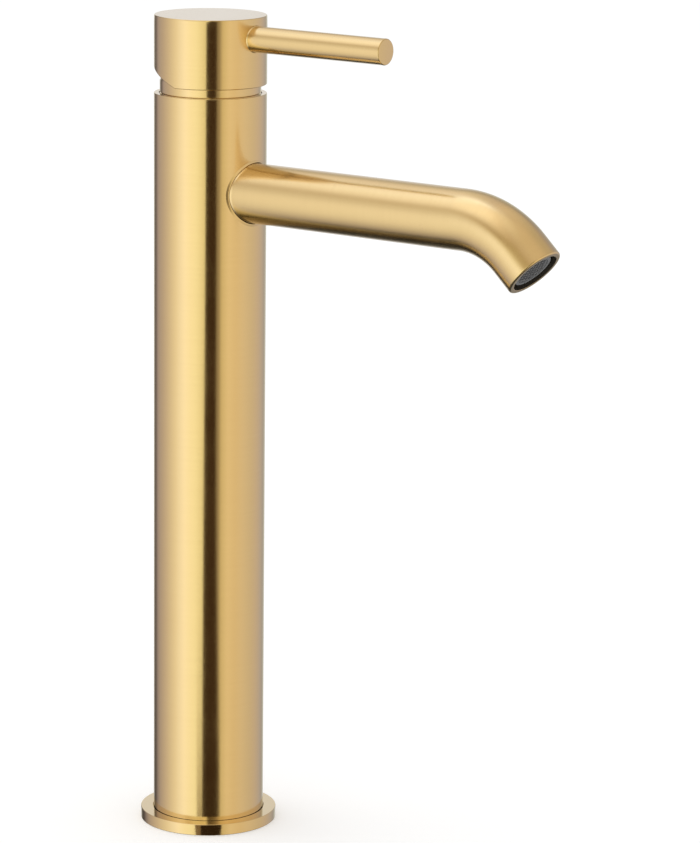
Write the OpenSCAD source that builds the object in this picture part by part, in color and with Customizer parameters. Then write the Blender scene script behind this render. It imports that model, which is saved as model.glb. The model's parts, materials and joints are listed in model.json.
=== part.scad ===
// Tall single-lever basin mixer with a 35 mm ceramic cartridge.
// Origin: centre of the foot's underside, on the deck. +Z is up, and the spout and lever point to -Y.

/* [Column] */
// Outside diameter of the column
column_d = 45; // [44:0.5:52]
// Wall of the column's tube
column_wall = 2; // [1.2:0.1:2.2]
// Height of the column's top edge above the deck
column_top = 300.4; // [240:0.1:340]
// Chamfer round the column's top edge
column_edge = 0.3; // [0.1:0.1:0.6]

/* [Foot] */
// Outside diameter of the foot ring
flange_d = 55.5; // [54:0.5:70]
// Thickness of the foot ring
flange_h = 4.6; // [3.8:0.1:8]
// Depth of the seat in the foot ring that the column stands in
flange_seat = 1.6; // [0.8:0.1:2]
// Gap between the column and the edge of its seat in the foot ring
flange_gap = 0.25; // [0.1:0.05:0.5]
// Chamfer round the foot ring's edges
flange_edge = 0.3; // [0.1:0.1:0.8]
// Diameter of the opening through the foot ring, for the hoses and the stud
shank_d = 37; // [34:0.5:38]
// Width of the deck gasket's ring
gasket_w = 4.8; // [2:0.1:5]
// Thickness of the deck gasket
gasket_h = 1.5; // [0.8:0.1:1.8]
// Height of the foot plug's underside above the deck
plug_z = 5; // [4.5:0.1:8]
// Height of the foot plug
plug_h = 24; // [22:0.5:40]

/* [Inlets] */
// Distance between the two hose inlets
inlet_pitch = 19; // [18.5:0.1:20]
// Distance that the inlets lie in front of the column's axis
inlet_forward = 5; // [4.4:0.1:5.6]
// Tapped bore of each M10x1 hose inlet
inlet_d = 9; // [8.9:0.05:10]
// Depth of thread in each inlet
inlet_depth = 11; // [8:0.5:12]
// Tapped bore of the M8 fixing stud's hole
stud_d = 6.8; // [6.6:0.1:8]
// Depth of the stud's hole
stud_depth = 16; // [10:0.5:18]
// Distance that the stud's hole lies behind the column's axis
stud_back = 10; // [8:0.5:11]

/* [Risers] */
// Outside diameter of each riser pipe
riser_d = 8; // [7:0.1:8.4]
// Wall of each riser pipe
riser_wall = 1; // [0.6:0.1:1.4]
// Depth of the socket at each end of a riser
riser_socket = 10; // [8:0.5:11]
// Thickness of a riser's O-ring
riser_ring = 1.2; // [1:0.1:1.4]

/* [Spout] */
// Outside diameter of the spout
spout_d = 24; // [22:0.2:24.4]
// Wall of the spout's tube
spout_wall = 2; // [1.5:0.1:2.2]
// Depth of the spout's axis below the column's top edge
spout_drop = 38.4; // [38.4:0.1:120]
// Length of the spout's straight part, from the column's axis
spout_straight = 122.8; // [70:0.1:200]
// Radius of the spout's bend, at its centre line
bend_r = 37.6; // [20:0.1:60]
// Angle of the spout's bend
bend_angle = 43.6; // [20:0.1:90]
// Length of the straight end after the bend
spout_end = 9.8; // [9.6:0.1:40]
// Rounding of the spout's outer edge at its mouth
mouth_round = 0.8; // [0.3:0.1:1]
// Gap between the spout and the edge of the column's hole
spout_gap = 0.7; // [0.3:0.1:1]
// Distance from the column's axis to the spout's inner end
spout_seat = 18.5; // [18.2:0.1:18.6]

/* [Aerator] */
// Diameter of the aerator's thread
aerator_d = 18.5; // [17.5:0.1:18.6]
// Diameter of the aerator's visible end
aerator_face_d = 16.8; // [16:0.1:17.2]
// Depth of the aerator's face inside the spout's mouth
aerator_recess = 1.2; // [0.5:0.1:1.4]
// Diameter of the honeycomb
grille_d = 13.8; // [13:0.1:14.4]
// Distance between neighbouring cells of the honeycomb
cell_pitch = 1.9; // [1.7:0.05:2]
// Wall between neighbouring cells
cell_wall = 0.4; // [0.3:0.05:0.6]

/* [Handle] */
// Outside diameter of the handle
handle_d = 45; // [44:0.5:50]
// Height of the handle
handle_h = 27.5; // [27:0.1:40]
// Gap between the column's top edge and the handle
handle_lift = 3.5; // [3:0.1:6]
// Wall of the handle's skirt
handle_wall = 1.5; // [1.2:0.1:1.8]
// Thickness of the handle's top
handle_roof = 3; // [1.5:0.1:4]
// Chamfer round the handle's top edge
handle_edge = 0.35; // [0.1:0.05:0.8]
// Distance behind the axis at which the wedge cut under the handle starts
cut_start = 0.5; // [0:0.1:4]

/* [Lever] */
// Diameter of the lever
lever_d = 10.4; // [8:0.1:12]
// Distance from the column's axis to the lever's tip
lever_reach = 85.4; // [60:0.1:130]
// Height of the lever's axis above the handle's lower edge
lever_rise = 19.3; // [18:0.1:20.5]
// Chamfer at the lever's tip
lever_edge = 0.5; // [0.1:0.1:1]

/* [Cartridge] */
// Diameter of the cartridge
cartridge_d = 34.8; // [34.4:0.1:35]
// Height of the cartridge from its base to its shoulder
cartridge_h = 18.4; // [18.4:0.1:19.4]
// Height of the stem's pivot above the shoulder
pivot_rise = 5.6; // [5:0.1:6.4]
// Angle that the lever lifts through
lift_angle = 22; // [15:0.5:24]
// Angle that the lever turns to each side
turn_angle = 50; // [30:1:55]
// Side of the stem's square
stem_w = 8; // [7:0.1:8.4]
// Diameter of the stem's pin
pin_d = 3; // [2.5:0.1:3.4]
// Radius of the stem's lower finger
finger_r = 2.1; // [1.8:0.1:2.2]
// Thickness of the fixed ceramic disc
fixed_disc_h = 3.2; // [2.8:0.1:3.3]
// Thickness of the moving ceramic disc
moving_disc_h = 3.1; // [2.8:0.1:3.2]

/* [Hidden] */
$fn = 96;

// Clearances
seat_clear = 0.1;      // between a turned part and the bore that it sits in
thread_clear = 0.05;   // between a screw and its thread, drawn as plain cylinders
move_clear = 0.3;      // between two parts that move on each other
run_clear = 0.1;       // of the rotor's neck in the housing
pin_clear = 0.05;      // of the pin in the stem
cut = 1;               // how far a cutting shape runs past the face that it cuts

// Column and foot
column_r = column_d / 2;
column_bore_r = column_r - column_wall;
column_foot = flange_h - flange_seat;
flange_r = flange_d / 2;
gasket_r = flange_r - 2.4;
insert_r = column_bore_r - seat_clear;
plug_top = plug_z + plug_h;

// Heights of the valve, counted down from the column's mouth
mouth_depth = 1.4;
valve_top = column_top - mouth_depth;
shoulder_z = valve_top - 6.6;
seat_floor = shoulder_z - cartridge_h;
pivot_z = shoulder_z + pivot_rise;
spout_z = column_top - spout_drop;
valve_below_spout = 22;
valve_bottom = spout_z - valve_below_spout;

// Spout
spout_r = spout_d / 2;
spout_bore_r = spout_r - spout_wall;
spout_hole_r = spout_r + spout_gap;
nipple_thread_r = 7;
nipple_thread_end = 9;
nipple_spigot = 17;
nipple_bore_r = 4.6;
channel_r = 4.2;
mouth_bore_r = aerator_d / 2 + 0.6;
mouth_bore_h = aerator_recess + 1.8;
aerator_thread_h = 4.5;
aerator_seal_h = 1;
aerator_lip_h = 0.9;
aerator_bore_r = grille_d / 2 + 0.8;
mouth_h = mouth_bore_h + aerator_thread_h + aerator_seal_h + aerator_lip_h;

// Water ways in the valve body
outlet_back = 6;
port_x = 6.6;
port_y = 5.2;
port_r = 3.3;
way_r = 3;
port_slot_h = 2.8;

// Riser sockets
riser_r = riser_d / 2;
socket_r = riser_r + thread_clear;
ring_groove_r = socket_r + riser_ring;
ring_offset = 3;

// Cartridge, stacked up from its base
cartridge_r = cartridge_d / 2;
seat_r = cartridge_r + seat_clear;
base_h = 3.5;
peg_r = 1.5;
peg_h = 2;
peg_x = 13;
seal_h = 1.2;
seal_in = 4.15;
seal_out = 12.65;
seal_from = 2;
seal_to = 79.5;
seal_t = 0.75;
seal_end = 3.5;
outlet_ring_r = 4.7;
inlet_ring_r = 4.5;
seal_clear = 0.1;
fixed_disc_z = seat_floor + base_h;
fixed_disc_r = 14;
moving_disc_z = fixed_disc_z + fixed_disc_h + 0.05;
moving_disc_r = 10.5;
carriage_z = moving_disc_z + moving_disc_h;
carriage_h = 3.5;
carriage_r = 11.5;
carriage_flat = 8;
key_r = 1.2;
key_x = 6.4;
key_h = 0.9;
pocket_h = 2;
rotor_z = carriage_z + carriage_h + 0.4;
rotor_r = 14.5;
housing_bore_r = rotor_r + move_clear;
housing_roof = shoulder_z - 2;
rotor_flange_top = housing_roof - move_clear;
rotor_neck_r = 10.8;
stop_r = rotor_r + 1.4;
stop_half = 8;
stop_gap = 1.5;
neck_bore_r = rotor_neck_r + run_clear;
neck_r = 13.2;
neck_top = pivot_z + 3;
rotor_head = 4;
rotor_top = pivot_z + rotor_head;

// Stem and its travel
finger_z = carriage_z + 2.4;
arm_len = pivot_z - finger_z;
arm_t = 1.7;
arm_w = 3;
stem_block = 4.5;
stroke = arm_len * sin(lift_angle);
disc_rest = stroke / 2;
stem_half = stem_w / 2;
slot_x = stem_half + move_clear;
slot_top = stem_half / cos(lift_angle) + (rotor_top - pivot_z) * tan(lift_angle);
slot_bottom = arm_t / cos(lift_angle) + (pivot_z - rotor_z) * tan(lift_angle);
slot_y = max(slot_top, slot_bottom) + 0.4;
pin_r = pin_d / 2;
pin_len = 2 * (sqrt(pow(rotor_neck_r, 2) - pow(pin_r, 2)) - 0.5);

// Nut and dome cover
nut_thread_r = seat_r + 0.45;
nut_bore_r = neck_r + move_clear;
nut_collar_z = valve_top + move_clear;
nut_collar_h = 2.7;
nut_hex_h = 2;

// Handle
handle_r = handle_d / 2;
handle_bore_r = handle_r - handle_wall;
handle_z = column_top + handle_lift;
handle_top = handle_z + handle_h;
boss_r = 8.2;
boss_z = rotor_top + 5;
dome_r = min(column_bore_r - move_clear, handle_bore_r - 0.8);
dome_sweep = sqrt(pow(handle_bore_r, 2) + pow(handle_z - pivot_z, 2)) - 0.4;
dome_wall = 1.3;
dome_open = 8.4;
dome_top = pivot_z + dome_sweep - dome_open;
neck_groove_h = 0.6;
neck_groove_t = 0.5;
neck_groove_z = column_top - 0.2;
dome_mouth_r = (boss_r + 0.5 + (dome_top - pivot_z) * sin(lift_angle)) / cos(lift_angle);
nut_collar_r = dome_r - dome_wall - thread_clear;
nut_dome_gap = 1.6;
nut_hex_r = dome_r - dome_wall - nut_dome_gap;
lever_r = lever_d / 2;
lever_z = handle_z + lever_rise;
lever_gap = 0.25;
lever_seat = handle_r - 1.7;
lever_thread_r = 4;
lever_thread_end = 7;
lug_r = 7;
screw_r = 2.5;
screw_len = 4;
screw_rise = 14.6;
screw_z = handle_z + screw_rise;
pad_r = 4.5;
pad_t = 3.2;
plug_r = 3;
plug_len = 2.6;
plug_end = sqrt(pow(handle_r, 2) - pow(plug_r, 2));
stem_top = screw_z + 3.5;

gold = "#d9b36c";
raw_brass = "#b08d57";
copper = "#b87048";
rubber = "#2b2b2b";
grey_plastic = "#8a8f92";
white_plastic = "#e8e6df";
ceramic = "#f2f0ea";
steel = "#9aa0a6";

// Turns what is built along +Z so that it points forward, to -Y
module forward() {
    rotate([90, 0, 0]) children();
}

// Turns what is built along +Z so that it points backward, to +Y
module backward() {
    rotate([-90, 0, 0]) children();
}

module tube(r, bore, h) {
    difference() {
        cylinder(r = r, h = h);
        translate([0, 0, -cut]) cylinder(r = bore, h = h + 2 * cut);
    }
}

// Round bar along +Z with its far edge chamfered
module chamfered_bar(r, h, edge) {
    cylinder(r = r, h = h - edge);
    translate([0, 0, h - edge]) cylinder(r1 = r, r2 = r - edge, h = edge);
}

// Block centred on the Z axis that stands on z = 0
module post(x, y, h) {
    translate([-x / 2, -y / 2, 0]) cube([x, y, h]);
}

// Sector of a ring, from angle a to angle b measured from the front towards +X
module ring_sector(bore, r, a, b, h) {
    rotate_extrude(angle = b - a, start = a - 90) translate([bore, 0]) square([r - bore, h]);
}

// The same on both sides of the middle plane
module both_sides() {
    children();
    mirror([1, 0, 0]) children();
}

// Ring of round section
module o_ring(r, thickness) {
    rotate_extrude() translate([r + thickness / 2, 0]) circle(d = thickness, $fn = 24);
}

// ---------------------------------------------------------------- column and foot

module column_tube() {
    color(gold) difference() {
        translate([0, 0, column_foot]) chamfered_bar(column_r, column_top - column_foot, column_edge);
        cylinder(r = column_bore_r, h = column_top + cut);
        translate([0, 0, spout_z]) forward() cylinder(r = spout_hole_r, h = column_r + cut);
    }
}

module base_flange() {
    color(gold) difference() {
        union() {
            cylinder(r1 = flange_r - flange_edge, r2 = flange_r, h = flange_edge);
            translate([0, 0, flange_edge])
                chamfered_bar(flange_r, flange_h - flange_edge, flange_edge);
        }
        translate([0, 0, -cut]) cylinder(d = shank_d, h = flange_h + 2 * cut);
        translate([0, 0, column_foot]) cylinder(r = column_r + flange_gap, h = flange_h);
        translate([0, 0, -cut]) tube(gasket_r + seat_clear, gasket_r - gasket_w - seat_clear, gasket_h + cut);
    }
}

module base_gasket() {
    color(rubber) tube(gasket_r, gasket_r - gasket_w, gasket_h);
}

// A point on both risers' axes, at height z
module at_risers(z) {
    both_sides() translate([inlet_pitch / 2, -inlet_forward, z]) children();
}

// Socket for a riser's end, with the groove of its O-ring; its mouth is at z = 0 and it runs down
module riser_seat() {
    translate([0, 0, -riser_socket]) cylinder(r = socket_r, h = riser_socket + cut);
    translate([0, 0, -ring_offset - riser_ring]) cylinder(r = ring_groove_r, h = 2 * riser_ring);
}

module base_insert() {
    color(raw_brass) difference() {
        translate([0, 0, plug_z]) cylinder(r = insert_r, h = plug_h);
        at_risers(plug_z - cut) cylinder(d = inlet_d, h = inlet_depth + cut);
        at_risers(plug_z) cylinder(r = way_r, h = plug_h);
        at_risers(plug_top) riser_seat();
        translate([0, stud_back, plug_z - cut]) cylinder(d = stud_d, h = stud_depth + cut);
    }
}

module riser() {
    bottom = plug_top - riser_socket + seat_clear;
    top = valve_bottom + riser_socket - seat_clear;
    translate([0, 0, bottom]) tube(riser_r, riser_r - riser_wall, top - bottom);
}

module riser_hot() {
    color(copper) translate([-inlet_pitch / 2, -inlet_forward, 0]) riser();
}

module riser_cold() {
    color(copper) translate([inlet_pitch / 2, -inlet_forward, 0]) riser();
}

module riser_o_rings() {
    color(rubber) {
        at_risers(plug_top - ring_offset) o_ring(socket_r, riser_ring - thread_clear);
        at_risers(valve_bottom + ring_offset) o_ring(socket_r, riser_ring - thread_clear);
    }
}

// ---------------------------------------------------------------- valve body

module valve_body() {
    color(raw_brass) difference() {
        translate([0, 0, valve_bottom]) cylinder(r = insert_r, h = valve_top - valve_bottom);
        translate([0, 0, seat_floor]) cylinder(r = seat_r, h = valve_top);
        translate([0, 0, shoulder_z - 1]) cylinder(r = nut_thread_r + thread_clear, h = valve_top);
        both_sides() translate([peg_x, 0, seat_floor - peg_h - move_clear]) cylinder(r = peg_r + seat_clear, h = valve_top);
        inlet_ways();
        outlet_way();
    }
}

// Both inlets: riser socket, way up, and slot across to the cartridge's port
module inlet_ways() {
    slot_z = seat_floor - port_slot_h;
    at_risers(valve_bottom) mirror([0, 0, 1]) riser_seat();
    at_risers(valve_bottom) cylinder(r = way_r, h = slot_z - valve_bottom + cut);
    both_sides() {
        translate([port_x, -port_y, slot_z]) cylinder(r = port_r, h = port_slot_h + cut);
        translate([inlet_pitch / 2, -inlet_forward, slot_z]) cylinder(r = way_r, h = port_slot_h - seat_clear);
    }
}

// Outlet: down from the cartridge, then forward between the inlets to the spout's seat
module outlet_way() {
    translate([0, outlet_back, spout_z]) cylinder(r = channel_r, h = seat_floor - spout_z + cut);
    translate([0, outlet_back, spout_z]) sphere(r = channel_r);
    translate([0, outlet_back, spout_z]) forward() cylinder(r = channel_r, h = column_r + outlet_back);
    translate([0, -nipple_thread_end, spout_z]) forward() cylinder(r = nipple_thread_r, h = column_r);
    translate([0, -spout_seat, spout_z]) forward() cylinder(r = spout_r + seat_clear, h = column_r);
}

// ---------------------------------------------------------------- spout

// Places what is built along +Z at the spout's bend: its origin is the bend's start
module at_bend() {
    translate([0, 0, spout_z]) forward() translate([0, 0, spout_straight]) children();
}

// Places what is built along +Z at the centre of the spout's mouth, with +Z pointing out of it
module at_mouth() {
    at_bend() translate([0, -bend_r, 0]) rotate([bend_angle, 0, 0]) translate([0, bend_r, spout_end]) children();
}

module spout() {
    color(gold) {
        translate([0, -spout_seat, spout_z]) forward() tube(spout_r, spout_bore_r, spout_straight - spout_seat);
        at_bend() translate([0, -bend_r, 0]) rotate([90, 0, 90]) rotate_extrude(angle = bend_angle)
            translate([bend_r, 0]) difference() {
                circle(r = spout_r);
                circle(r = spout_bore_r);
            }
    }
}

// The turned end that is brazed on the bent tube: it holds the aerator
module spout_tip() {
    color(gold) at_mouth() rotate_extrude() tip_profile();
}

// Half section of the spout's tip: rounded rim, wide bore, aerator thread, seal lip and plain tube
module tip_profile() {
    thread_top = aerator_lip_h - mouth_h;
    difference() {
        union() {
            translate([0, -spout_end]) square([spout_r, spout_end - mouth_round]);
            translate([0, -mouth_round - 0.01]) square([spout_r - mouth_round, mouth_round + 0.01]);
            translate([spout_r - mouth_round, -mouth_round]) circle(r = mouth_round);
        }
        translate([-cut, -spout_end - cut]) square([aerator_bore_r + cut, spout_end + 2 * cut]);
        translate([0, -spout_end - cut]) square([spout_bore_r, spout_end - mouth_h + cut]);
        translate([0, thread_top]) square([aerator_d / 2, mouth_h]);
        translate([0, -mouth_bore_h]) square([mouth_bore_r, mouth_bore_h + cut]);
    }
}

// Grooves for the nipple's O-rings, as distances from the column's axis
nipple_first = 6;
nipple_pitch = 5;
nipple_grooves = [spout_seat + nipple_first, spout_seat + nipple_first + nipple_pitch];
nipple_r = spout_bore_r - thread_clear;
nipple_ring = 1.5;

module spout_nipple() {
    color(raw_brass) translate([0, 0, spout_z]) forward() difference() {
        union() {
            translate([0, 0, nipple_thread_end + 0.5])
                cylinder(r = nipple_thread_r - thread_clear, h = spout_seat - nipple_thread_end);
            translate([0, 0, spout_seat]) cylinder(r = nipple_r, h = nipple_spigot);
        }
        cylinder(r = nipple_bore_r, h = column_d);
        translate([0, 0, spout_seat + nipple_spigot - 8]) cylinder(r = 6, h = 8 + cut, $fn = 6);
        for (z = nipple_grooves)
            translate([0, 0, z - nipple_ring]) tube(nipple_r + cut, nipple_r - nipple_ring, 2 * nipple_ring);
    }
}

module spout_o_rings() {
    color(rubber) translate([0, 0, spout_z]) forward() for (z = nipple_grooves)
        translate([0, 0, z]) o_ring(nipple_r - nipple_ring, nipple_ring);
}

// ---------------------------------------------------------------- aerator

module aerator_housing() {
    color(grey_plastic) at_mouth() difference() {
        union() {
            translate([0, 0, -mouth_bore_h - aerator_thread_h])
                cylinder(r = aerator_d / 2 - thread_clear, h = aerator_thread_h);
            translate([0, 0, -mouth_bore_h - cut])
                chamfered_bar(aerator_face_d / 2, mouth_bore_h + cut - aerator_recess, 0.3);
        }
        translate([0, 0, -mouth_bore_h - aerator_thread_h - cut])
            cylinder(r = aerator_bore_r - 0.6, h = aerator_thread_h + cut);
        translate([0, 0, -mouth_bore_h - aerator_thread_h]) cylinder(d = grille_d + 2 * thread_clear, h = spout_end);
    }
}

module aerator_grille() {
    grille_h = 2.4;
    rings = 3;
    color(grey_plastic) at_mouth() translate([0, 0, -aerator_recess - 0.4 - grille_h]) difference() {
        cylinder(d = grille_d, h = grille_h);
        for (i = [-rings : rings], j = [-rings : rings])
            if (abs(i + j) <= rings)
                translate([(i + j / 2) * cell_pitch, j * cell_pitch * sqrt(3) / 2, -cut]) rotate(30)
                    cylinder(r = (cell_pitch - cell_wall) / sqrt(3), h = grille_h + 2 * cut, $fn = 6);
    }
}

module aerator_diffuser() {
    diffuser_h = 1.2;
    color(white_plastic) at_mouth() translate([0, 0, -mouth_bore_h - aerator_thread_h]) difference() {
        cylinder(d = grille_d, h = diffuser_h);
        for (row = [[2.4, 6], [4.8, 12]], i = [1 : row[1]])
            rotate(360 / row[1] * i) translate([row[0], 0, -cut]) cylinder(r = 0.5, h = diffuser_h + 2 * cut, $fn = 16);
    }
}

module aerator_seal() {
    color(rubber) at_mouth() translate([0, 0, -mouth_bore_h - aerator_thread_h - aerator_seal_h])
        tube(aerator_d / 2 - seat_clear, aerator_bore_r, aerator_seal_h);
}

// ---------------------------------------------------------------- cartridge

// Places children at the cartridge's inlet ports
module at_inlet_ports(z) {
    both_sides() translate([port_x, -port_y, z]) children();
}

module cartridge_base() {
    groove_z = fixed_disc_z - seal_h;
    color(grey_plastic) difference() {
        union() {
            translate([0, 0, seat_floor]) cylinder(r = cartridge_r, h = base_h);
            both_sides() translate([peg_x, 0, seat_floor - peg_h]) cylinder(r = peg_r, h = peg_h + cut);
        }
        at_inlet_ports(seat_floor - cut) cylinder(r = port_r - 0.3, h = base_h - seal_h + 2 * cut - 0.5);
        translate([0, outlet_back, seat_floor - cut]) cylinder(r = port_r, h = base_h + 2 * cut);
        at_inlet_ports(seat_floor - cut) tube(inlet_ring_r + seal_clear, port_r - 0.31, seal_h + cut);
        translate([0, outlet_back, seat_floor - cut])
            tube(outlet_ring_r + seal_clear, port_r - 0.01, seal_h + cut);
        both_sides() translate([0, 0, groove_z])
            ring_sector(seal_in - 0.05, seal_out + 0.05, seal_from - 0.5, seal_to + 0.5, seal_h + cut);
        translate([0, outlet_back, groove_z]) tube(outlet_ring_r + seal_clear, port_r - 0.01, seal_h + cut);
    }
}

module port_seals() {
    color(rubber) {
        at_inlet_ports(seat_floor) tube(inlet_ring_r, port_r - 0.2, seal_h);
        translate([0, outlet_back, seat_floor]) tube(outlet_ring_r, port_r + 0.1, seal_h);
    }
}

module disc_seals() {
    color(rubber) translate([0, 0, fixed_disc_z - seal_h]) {
        both_sides() difference() {
            ring_sector(seal_in, seal_out, seal_from, seal_to, seal_h);
            translate([0, 0, -cut])
                ring_sector(seal_in + seal_t, seal_out - seal_t, seal_from + seal_end, seal_to - seal_end, seal_h + 2 * cut);
        }
        translate([0, outlet_back, 0]) tube(outlet_ring_r, port_r + 0.1, seal_h);
    }
}

// Radii and angles of the fixed disc's two inlet slots
slot_in = 5.2;
slot_out = 8.4;
slot_from = 5;
slot_to = 36;

module fixed_disc() {
    color(ceramic) translate([0, 0, fixed_disc_z]) difference() {
        cylinder(r = fixed_disc_r, h = fixed_disc_h);
        both_sides() translate([0, 0, -cut]) ring_sector(slot_in, slot_out, slot_from, slot_to, fixed_disc_h + 2 * cut);
        translate([0, outlet_back - 0.4, -cut]) cylinder(r = port_r, h = fixed_disc_h + 2 * cut);
        both_sides() translate([fixed_disc_r, 0, -cut]) cylinder(r = peg_r + seat_clear, h = fixed_disc_h + 2 * cut);
    }
}

// Widths and depths of the two blocks that shape the moving disc's pocket
pocket_r = 8.7;
pocket_stem_w = 8.8;
pocket_stem_y = 10;
pocket_head_w = 16;
pocket_head_y = 5.5;
pocket_head_from = 3;

// The moving disc's pocket joins an inlet slot to the outlet once the disc has slid forward
module moving_disc() {
    color(ceramic) translate([0, 0, moving_disc_z]) difference() {
        translate([0, disc_rest, 0]) cylinder(r = moving_disc_r, h = moving_disc_h);
        translate([0, 0, -cut]) intersection() {
            union() {
                translate([-pocket_stem_w / 2, -slot_in + 0.9, 0])
                    cube([pocket_stem_w, pocket_stem_y, pocket_h + cut]);
                translate([-pocket_head_w / 2, pocket_head_from, 0])
                    cube([pocket_head_w, pocket_head_y, pocket_h + cut]);
            }
            cylinder(r = pocket_r, h = pocket_h + cut);
        }
        both_sides() translate([key_x, -1, moving_disc_h - key_h - seat_clear]) cylinder(r = key_r + thread_clear, h = key_h + cut);
    }
}

module disc_carriage() {
    color(white_plastic) {
        translate([0, 0, carriage_z]) difference() {
            intersection() {
                translate([0, disc_rest, 0]) cylinder(r = carriage_r, h = carriage_h);
                post(2 * carriage_flat, 4 * carriage_r, carriage_h);
            }
            translate([0, 0, -cut])
                post(2 * (arm_w + move_clear), 2 * (finger_r + move_clear), carriage_h + 2 * cut);
        }
        both_sides() translate([key_x, -1, carriage_z - key_h]) cylinder(r = key_r, h = key_h);
    }
}

module cartridge_rotor() {
    cheek_z = carriage_z + 0.4;
    color(white_plastic) difference() {
        union() {
            translate([0, 0, cheek_z]) cylinder(r = rotor_r, h = rotor_flange_top - cheek_z);
            translate([0, 0, rotor_z]) cylinder(r = rotor_neck_r, h = rotor_top - rotor_z);
            translate([0, 0, rotor_z]) mirror([0, 1, 0])
                ring_sector(rotor_neck_r, stop_r, -stop_half, stop_half, rotor_flange_top - rotor_z);
        }
        translate([0, 0, cheek_z - cut])
            post(2 * (carriage_flat + move_clear), 4 * rotor_r, rotor_z - cheek_z + cut);
        translate([0, 0, rotor_z - cut]) post(2 * slot_x, 2 * slot_y, rotor_top - rotor_z + 2 * cut);
        translate([-rotor_r, 0, pivot_z]) rotate([0, 90, 0]) cylinder(r = pin_r, h = 2 * rotor_r);
    }
}

module stem_pin() {
    color(steel) translate([-pin_len / 2, 0, pivot_z]) rotate([0, 90, 0]) cylinder(r = pin_r, h = pin_len);
}

module stem() {
    color(raw_brass) difference() {
        union() {
            translate([0, 0, pivot_z - stem_block]) post(stem_w, stem_w, stem_top - pivot_z + stem_block);
            translate([0, 0, finger_z]) post(2 * arm_w, 2 * arm_t, arm_len);
            translate([-arm_w, 0, finger_z]) rotate([0, 90, 0]) cylinder(r = finger_r, h = 2 * arm_w);
        }
        translate([-stem_w, 0, pivot_z]) rotate([0, 90, 0]) cylinder(r = pin_r + pin_clear, h = 2 * stem_w);
    }
}

module cartridge_housing() {
    disc_top = moving_disc_z + 0.2;
    color(grey_plastic) {
        difference() {
            union() {
                translate([0, 0, fixed_disc_z]) cylinder(r = cartridge_r, h = shoulder_z - fixed_disc_z);
                translate([0, 0, shoulder_z]) cylinder(r = neck_r, h = neck_top - shoulder_z);
            }
            translate([0, 0, fixed_disc_z - cut]) cylinder(r = fixed_disc_r + seat_clear, h = disc_top - fixed_disc_z + cut);
            translate([0, 0, disc_top - 0.1]) cylinder(r = housing_bore_r, h = housing_roof - disc_top + 0.1);
            cylinder(r = neck_bore_r, h = neck_top + cut);
            translate([0, 0, rotor_z - move_clear]) stop_recess();
        }
    }
}

// Room at the back of the housing for the rotor's stop lug, over the lever's whole turn
module stop_recess() {
    half = turn_angle + stop_half + stop_gap;
    mirror([0, 1, 0]) ring_sector(rotor_r, stop_r + move_clear, -half, half, housing_roof - rotor_z + move_clear);
}

module cartridge_nut() {
    color(raw_brass) difference() {
        union() {
            translate([0, 0, shoulder_z]) cylinder(r = nut_thread_r, h = nut_collar_z - shoulder_z);
            translate([0, 0, nut_collar_z]) cylinder(r = nut_collar_r, h = nut_collar_h);
            translate([0, 0, nut_collar_z + nut_collar_h]) cylinder(r = nut_hex_r, h = nut_hex_h, $fn = 6);
        }
        translate([0, 0, shoulder_z - cut]) cylinder(r = nut_bore_r, h = handle_h);
    }
}

// ---------------------------------------------------------------- dome cover and handle

// A cylinder of radius r that closes over as a sphere round the stem's pivot
module dome_shape(r, sphere_r, low) {
    intersection() {
        translate([0, 0, low]) cylinder(r = r, h = dome_top - low);
        translate([0, 0, pivot_z]) sphere(r = sphere_r, $fn = 128);
    }
}

// The dome stays inside the sphere that the handle's lower edge sweeps, and a groove parts it from the column
module dome_cover() {
    color(gold) difference() {
        dome_shape(dome_r, dome_sweep, nut_collar_z);
        dome_shape(dome_r - dome_wall, dome_sweep - dome_wall, nut_collar_z - cut);
        cylinder(r = dome_mouth_r, h = dome_top + cut);
        translate([0, 0, neck_groove_z]) tube(dome_r + cut, dome_r - neck_groove_t, neck_groove_h);
    }
}

module handle_cap() {
    color(gold) difference() {
        union() {
            difference() {
                translate([0, 0, handle_z]) chamfered_bar(handle_r, handle_h, handle_edge);
                translate([0, 0, handle_z - cut]) cylinder(r = handle_bore_r, h = handle_h - handle_roof + cut);
            }
            translate([0, 0, boss_z]) cylinder(r = boss_r, h = handle_top - handle_roof - boss_z + cut);
            intersection() {
                union() {
                    translate([0, 0, lever_z]) forward() cylinder(r = lug_r, h = handle_r);
                    translate([0, handle_r - pad_t, screw_z]) backward() cylinder(r = pad_r, h = pad_t);
                }
                translate([0, 0, handle_z]) cylinder(r = handle_r - 0.5, h = handle_h - handle_edge);
            }
        }
        translate([0, cut_start, handle_z]) rotate([lift_angle, 0, 0]) translate([-handle_d, 0, -handle_d])
            cube([2 * handle_d, handle_d, handle_d]);
        translate([0, 0, boss_z - cut]) post(stem_w + 2 * thread_clear, stem_w + 2 * thread_clear, stem_top - boss_z + cut + 0.2);
        lever_hole();
        screw_hole();
    }
}

module lever_hole() {
    translate([0, -lever_thread_end + 0.3, lever_z]) forward() cylinder(r = lever_thread_r + thread_clear, h = handle_r);
    translate([0, -lever_seat, lever_z]) forward() cylinder(r = lever_r + lever_gap, h = handle_r);
}

module screw_hole() {
    translate([0, 0, screw_z]) backward() cylinder(r = screw_r + thread_clear, h = handle_d);
    translate([0, plug_end - plug_len, screw_z]) backward() cylinder(r = plug_r + thread_clear, h = handle_r);
}

module lever() {
    color(gold) translate([0, 0, lever_z]) forward() {
        translate([0, 0, lever_thread_end]) cylinder(r = lever_thread_r, h = lever_seat - lever_thread_end);
        translate([0, 0, lever_seat]) chamfered_bar(lever_r, lever_reach - lever_seat, lever_edge);
    }
}

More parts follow.
